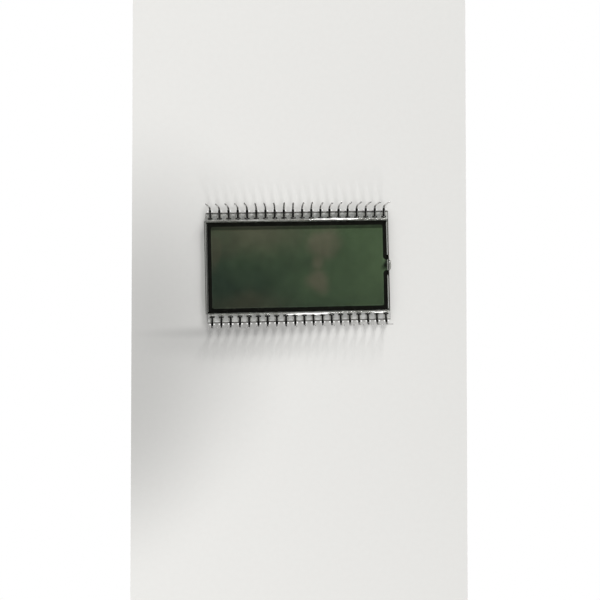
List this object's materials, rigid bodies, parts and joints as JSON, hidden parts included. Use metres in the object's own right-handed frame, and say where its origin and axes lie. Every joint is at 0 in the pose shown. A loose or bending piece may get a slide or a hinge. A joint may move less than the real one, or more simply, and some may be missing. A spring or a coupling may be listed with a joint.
{
  "type": "segment liquid crystal display",
  "caption": "Glass segment display with two polarised plates, bare contact ledges and a row of clip-on through-hole pins along each long side.",
  "frame": {"origin": "on the resting plane at the lowest tips of the pins' front tines, below the centre of the glass", "axes": "+X along the pin rows towards the fill port, +Y across the rows, +Z from the viewing face through the rear glass towards the pin tips"},
  "size_m": [0.0516, 0.0332, 0.0077],
  "materials": {
    "pin": "tin-plated stamped strip, semi-bright",
    "glass_front": "clear float glass",
    "glass_rear": "clear float glass",
    "polarizer_front": "grey-green polarising film, semi-gloss",
    "polarizer_rear": "grey-green polarising film, semi-gloss",
    "crystal": "clear liquid layer, dark green between the films",
    "seal": "epoxy seal, black between the films",
    "electrode_segment": "transparent conductive oxide film",
    "electrode_common": "transparent conductive oxide film",
    "plug": "clear cured resin",
    "resin": "clear cured resin",
    "paste": "conductive paste, matte",
    "crossover": "conductive dots, matte"
  },
  "bodies": {
    "root": {"front_polarizer": "polarizer_front", "front_glass": "glass_front", "segment_electrodes": "electrode_segment", "perimeter_seal": "seal", "liquid_crystal": "crystal", "common_electrode": "electrode_common", "rear_glass": "glass_rear", "rear_polarizer": "polarizer_rear", "fill_port_plug": "plug", "contact_paste_upper": "paste", "contact_paste_lower": "paste", "ledge_resin_upper": "resin", "ledge_resin_lower": "resin", "crossover_dot_1": "crossover", "crossover_dot_2": "crossover", "crossover_dot_3": "crossover", "crossover_dot_4": "crossover", "pin_upper_01": "pin", "pin_upper_02": "pin", "pin_upper_03": "pin", "pin_upper_04": "pin", "pin_upper_05": "pin", "pin_upper_06": "pin", "pin_upper_07": "pin", "pin_upper_08": "pin", "pin_upper_09": "pin", "pin_upper_10": "pin", "pin_upper_11": "pin", "pin_upper_12": "pin", "pin_upper_13": "pin", "pin_upper_14": "pin", "pin_upper_15": "pin", "pin_upper_16": "pin", "pin_upper_17": "pin", "pin_upper_18": "pin", "pin_upper_19": "pin", "pin_upper_20": "pin", "pin_lower_01": "pin", "pin_lower_02": "pin", "pin_lower_03": "pin", "pin_lower_04": "pin", "pin_lower_05": "pin", "pin_lower_06": "pin", "pin_lower_07": "pin", "pin_lower_08": "pin", "pin_lower_09": "pin", "pin_lower_10": "pin", "pin_lower_11": "pin", "pin_lower_12": "pin", "pin_lower_13": "pin", "pin_lower_14": "pin", "pin_lower_15": "pin", "pin_lower_16": "pin", "pin_lower_17": "pin", "pin_lower_18": "pin", "pin_lower_19": "pin", "pin_lower_20": "pin"}
  },
  "joints": []
}
